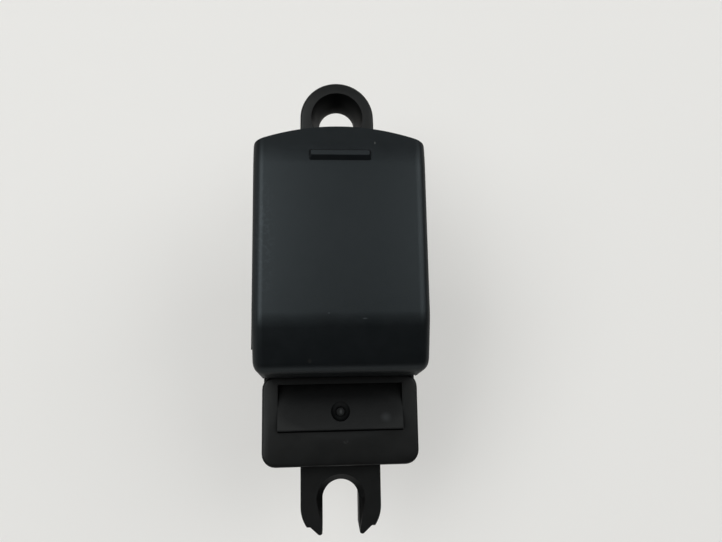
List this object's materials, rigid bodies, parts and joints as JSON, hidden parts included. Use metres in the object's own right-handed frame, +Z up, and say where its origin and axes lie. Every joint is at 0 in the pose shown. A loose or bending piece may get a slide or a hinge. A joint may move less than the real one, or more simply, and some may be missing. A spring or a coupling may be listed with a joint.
{
  "type": "window switch unit",
  "caption": "Single rocker window switch with a sprung hollow knob, moulded case with a ring ear and a fork ear, and a bladed connector shroud beneath.",
  "frame": {"origin": "middle of the unit in plan, at the rim of the connector shroud", "axes": "+Z up out of the knob's top, +Y toward the ring ear, +X across the unit"},
  "size_m": [0.0272, 0.071, 0.0435],
  "materials": {
    "knob_plastic": "fine grained satin",
    "case_plastic": "as moulded satin",
    "base_plastic": "as moulded",
    "acetal": "smooth",
    "plated_brass": "tin plated",
    "spring_copper": "rolled strip",
    "spring_steel": "drawn wire"
  },
  "bodies": {
    "housing": {"case": "case_plastic", "base": "base_plastic", "terminal_motor_up": "plated_brass", "terminal_master_up": "plated_brass", "terminal_motor_down": "plated_brass", "terminal_master_down": "plated_brass", "terminal_battery": "plated_brass", "return_spring_near": "spring_steel", "return_spring_far": "spring_steel"},
    "rocker": {"knob": "knob_plastic", "drive_stem": "acetal"},
    "carrier": {"contact_carrier": "acetal", "contact_clip_left": "spring_copper", "contact_clip_right": "spring_copper", "clip_spring_left": "spring_steel", "clip_spring_right": "spring_steel"},
    "near_plunger": {"plunger_near": "acetal"},
    "far_plunger": {"plunger_far": "acetal"}
  },
  "joints": [
    {"name": "knob_rock", "type": "hinge", "parent": "housing", "child": "rocker", "pos_m": [0, 0.0015, 0.0335], "axis": [1, 0, 0], "range_deg": [-7, 7], "stiffness_Nm_per_rad": 0.35},
    {"name": "carrier_slide", "type": "slide", "parent": "housing", "child": "carrier", "axis": [0, 1, 0], "range_m": [-0.00172, 0.00172]},
    {"name": "near_plunger_slide", "type": "slide", "parent": "housing", "child": "near_plunger", "axis": [0, 0, 1], "range_m": [-0.0008, 0.0008], "deforming": ["return_spring_near"]},
    {"name": "far_plunger_slide", "type": "slide", "parent": "housing", "child": "far_plunger", "axis": [0, 0, 1], "range_m": [-0.0008, 0.0008], "deforming": ["return_spring_far"]}
  ],
  "couplings": [
    {"joint": "carrier_slide", "follows": "knob_rock", "m_per_rad": 0.014},
    {"joint": "near_plunger_slide", "follows": "knob_rock", "m_per_rad": -0.0065},
    {"joint": "far_plunger_slide", "follows": "knob_rock", "m_per_rad": 0.0065}
  ]
}
